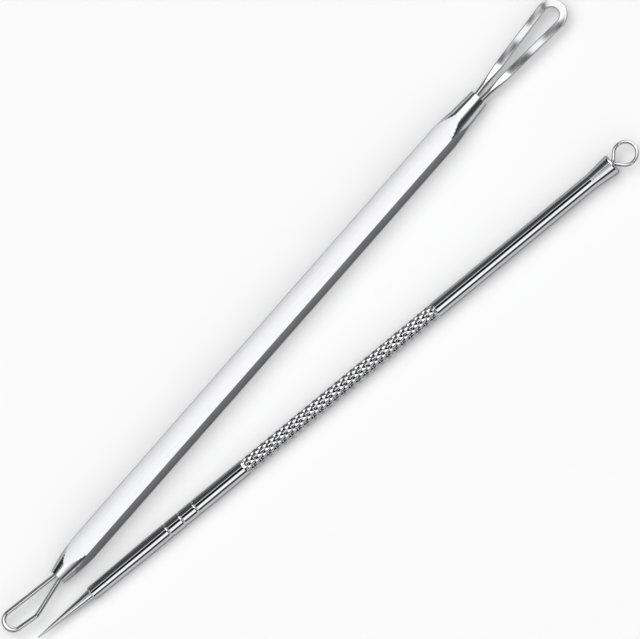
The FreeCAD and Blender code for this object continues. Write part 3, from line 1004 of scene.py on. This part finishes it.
@dataclass
class Studio:
    """Pale table, soft light and the photograph's camera.

    The metal mirrors a world of soft panels. A dark slot between the panels crosses overhead where the
    round rod mirrors it, with two strip lights in it: a narrow one that shows in flat tops and a broad
    one. The table is lit by soft lamps of its own. Pairs of numbers are distances in slant from the slot's
    middle, between which a panel or wall begins or ends.
    """

    rod_axis: Array
    floor_radius: float = 4.0
    floor_rings: tuple[float, ...] = (0.02, 0.2, 1.0)
    floor_columns: int = 96
    floor_depth: float = 20 * MM
    floor_colour: Colour = (0.93, 0.93, 0.93)
    floor_rough: float = 0.9
    floor_gloss: float = 0.1
    lamp_distance: float = 1.5
    key_size: float = 1.1
    key_lean: float = 18.0
    key_power: float = 4.4
    fill_size: float = 6.0
    fill_lean: float = -12.0
    fill_power: float = 121.0
    slot_front: tuple[float, float] = (0.05, 0.09)
    front_far: tuple[float, float] = (0.28, 0.4)
    front_gain: float = 0.45
    slot_back: tuple[float, float] = (0.17, 0.181)
    panel_end: tuple[float, float] = (0.375, 0.405)
    far_wall: tuple[float, float] = (0.6, 0.75)
    far_level: float = 0.5
    lens: float = 600.0
    sensor: float = 36.0
    view_width: float = 91.52 * MM
    view_rise: float = 72.5
    view_roll: float = 48.69
    look_at: tuple[float, float, float] = (6.785 * MM, -4.055 * MM, 1.68 * MM)
    slot_glows: tuple[Glow, ...] = (
        Glow(-90, 0.6), Glow(-78, 0.35), Glow(-65, 0.06), Glow(-36, 0.12), Glow(-24, 0.06),
        Glow(-19, 1.7), Glow(-16.5, 1.7), Glow(-14.5, 0.02), Glow(16, 0.02), Glow(22, 1.6),
        Glow(40, 1.85), Glow(54, 1.7), Glow(60, 0.05), Glow(74, 0.08), Glow(90, 0.4),
    )
    front_glows: tuple[Glow, ...] = (
        Glow(-90, 0.2), Glow(-76, 0.05), Glow(-64, 0.2), Glow(-52, 1.6), Glow(-30, 2.3), Glow(6, 2.2),
        Glow(22, 0.9), Glow(32, 0.1), Glow(56, 0.05), Glow(78, 0.1), Glow(90, 0.2),
    )
    back_glows: tuple[Glow, ...] = (
        Glow(-90, 0.3), Glow(-76, 0.25), Glow(-60, 0.3), Glow(-48, 1.5), Glow(-30, 1.9), Glow(10, 1.9),
        Glow(26, 1.3), Glow(46, 0.6), Glow(66, 0.15), Glow(76, 0.02), Glow(90, 0.05),
    )

    def view_axes(self) -> tuple[Array, Array, Array]:
        """Directions of the camera, which leans from overhead to -Y and is rolled.

        Returns:
            Unit vectors to its right, up and back.
        """
        rise, roll = math.radians(self.view_rise), math.radians(self.view_roll)
        back = np.array((0.0, -math.cos(rise), math.sin(rise)))
        level_up = np.array((0.0, math.sin(rise), math.cos(rise)))
        along = np.array((1.0, 0.0, 0.0))
        right = math.cos(roll) * along - math.sin(roll) * level_up
        up = math.sin(roll) * along + math.cos(roll) * level_up
        return right, up, back

    def make_floor(self) -> None:
        """Round pale table top: flat rings about the origin, above the same rings at its underside."""
        angle = ring_angles(self.floor_columns)
        radius = np.array(self.floor_rings)[:, None] * self.floor_radius
        x, y = radius * np.cos(angle), radius * np.sin(angle)
        upper = np.stack([x, y, np.zeros_like(x)], axis=-1)
        lower = (upper - (0.0, 0.0, self.floor_depth))[::-1]
        floor = skin("table_top", np.concatenate([upper, lower]))
        material = bpy.data.materials.new("pale_table")
        material.use_nodes = True
        shader = material.node_tree.nodes["Principled BSDF"]
        shader.inputs["Base Color"].default_value = (*self.floor_colour, 1.0)
        shader.inputs["Roughness"].default_value = self.floor_rough
        shader.inputs["Specular IOR Level"].default_value = self.floor_gloss
        floor.data.materials.append(material)

    def bands(self, nodes: NodeMaker, over: Socket, glows: Sequence[Glow]) -> Socket:
        """Brightness that follows stops, by the share of the way over the top from horizon to horizon."""
        stops = [((glow.lean + HORIZON) / (2 * HORIZON), (glow.level,) * 3) for glow in glows]
        return nodes.ramp(over, stops, "EASE")

    def make_world(self) -> None:
        """World of soft panels.

        A direction's lean is its angle from overhead towards -Y. Its slant is its share along the rod's
        axis, and the slot is dark about the slant at which the rod mirrors the camera, which is the
        camera's own slant turned about. A panel fades in on each side of the slot. The front one, at the
        ring's end, is brighter far from the slot. The back one has an end, and it is dark from there to
        the far wall.
        """
        world = bpy.data.worlds.new("soft_studio")
        bpy.context.scene.world = world
        world.use_nodes = True
        world.cycles_visibility.diffuse = False
        nodes = NodeMaker(world.node_tree)
        way = nodes.add("SeparateXYZ", {"Vector": nodes.add("TexCoord").outputs["Generated"]})
        x, y, z = (way.outputs[axis] for axis in "XYZ")
        lean = nodes.math("DEGREES", nodes.math("ARCTAN2", nodes.math("MULTIPLY", y, -1.0), z))
        over = nodes.math("DIVIDE", nodes.math("ADD", lean, HORIZON), 2 * HORIZON)
        axis_x, axis_y = float(self.rod_axis[0]), float(self.rod_axis[1])
        slant = nodes.math("MULTIPLY_ADD", x, axis_x, nodes.math("MULTIPLY", y, axis_y))
        mirrored = -float(self.view_axes()[2] @ self.rod_axis)
        before = nodes.math("SUBTRACT", slant, mirrored)
        behind = nodes.math("MULTIPLY", before, -1.0)
        in_front = nodes.rise(before, *self.slot_front)
        past_slot = nodes.rise(behind, *self.slot_back)
        in_back = nodes.math("SUBTRACT", past_slot, nodes.rise(behind, *self.panel_end))
        in_slot = nodes.math("SUBTRACT", 1.0, nodes.math("ADD", in_front, past_slot))
        far = nodes.rise(before, *self.front_far)
        brighter = nodes.math("MULTIPLY_ADD", far, self.front_gain, in_front)
        glow = nodes.math("MULTIPLY", self.bands(nodes, over, self.slot_glows), in_slot)
        for glows, share in ((self.front_glows, brighter), (self.back_glows, in_back)):
            glow = nodes.math("MULTIPLY_ADD", self.bands(nodes, over, glows), share, glow)
        glow = nodes.math("MULTIPLY_ADD", nodes.rise(behind, *self.far_wall), self.far_level, glow)
        background = world.node_tree.nodes["Background"]
        background.inputs["Color"].default_value = (1.0, 1.0, 1.0, 1.0)
        nodes.put(background.inputs["Strength"], glow)

    def add_lamp(self, name: str, size: float, lean: float, power: float) -> None:
        """Soft square lamp for the table, which the metal doesn't mirror.

        Args:
            name: the lamp's name.
            size: its side.
            lean: degrees that it leans from overhead towards +Y.
            power: its power in watts.
        """
        lamp = bpy.data.lights.new(name, "AREA")
        lamp.size = size
        lamp.energy = power
        holder = bpy.data.objects.new(name, lamp)
        angle = math.radians(lean)
        holder.location = (0.0, self.lamp_distance * math.sin(angle), self.lamp_distance * math.cos(angle))
        holder.rotation_euler = (-angle, 0.0, 0.0)
        holder.visible_glossy = False
        bpy.context.scene.collection.objects.link(holder)

    def make_camera(self) -> None:
        """Camera that looks down at the table from -Y, rolled so that the bar rises to the right."""
        lens = bpy.data.cameras.new("photo_camera")
        lens.lens = self.lens
        lens.sensor_width = self.sensor
        camera = bpy.data.objects.new("photo_camera", lens)
        right, up, back = self.view_axes()
        place = np.array(self.look_at) + back * self.view_width * self.lens / self.sensor
        matrix = np.eye(4)
        matrix[:3] = np.stack([right, up, back, place], axis=1)
        camera.matrix_world = matrix.T.tolist()
        bpy.context.scene.collection.objects.link(camera)
        bpy.context.scene.camera = camera

    def build(self) -> None:
        """Set up the table, the light and the camera."""
        bpy.context.scene.view_settings.view_transform = "Standard"
        self.make_floor()
        self.make_world()
        self.add_lamp("table_key", self.key_size, self.key_lean, self.key_power)
        self.add_lamp("table_fill", self.fill_size, self.fill_lean, self.fill_power)
        self.make_camera()


def main() -> None:
    """Build the studio and both tools."""
    logging.basicConfig(level=logging.INFO, format="%(name)s %(message)s")
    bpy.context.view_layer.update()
    loop_tool = LoopTool()
    needle_tool = NeedleTool()
    Studio(needle_tool.stand.axes[0]).build()
    loop_tool.build()
    needle_tool.build()


if __name__ == "__main__":
    main()
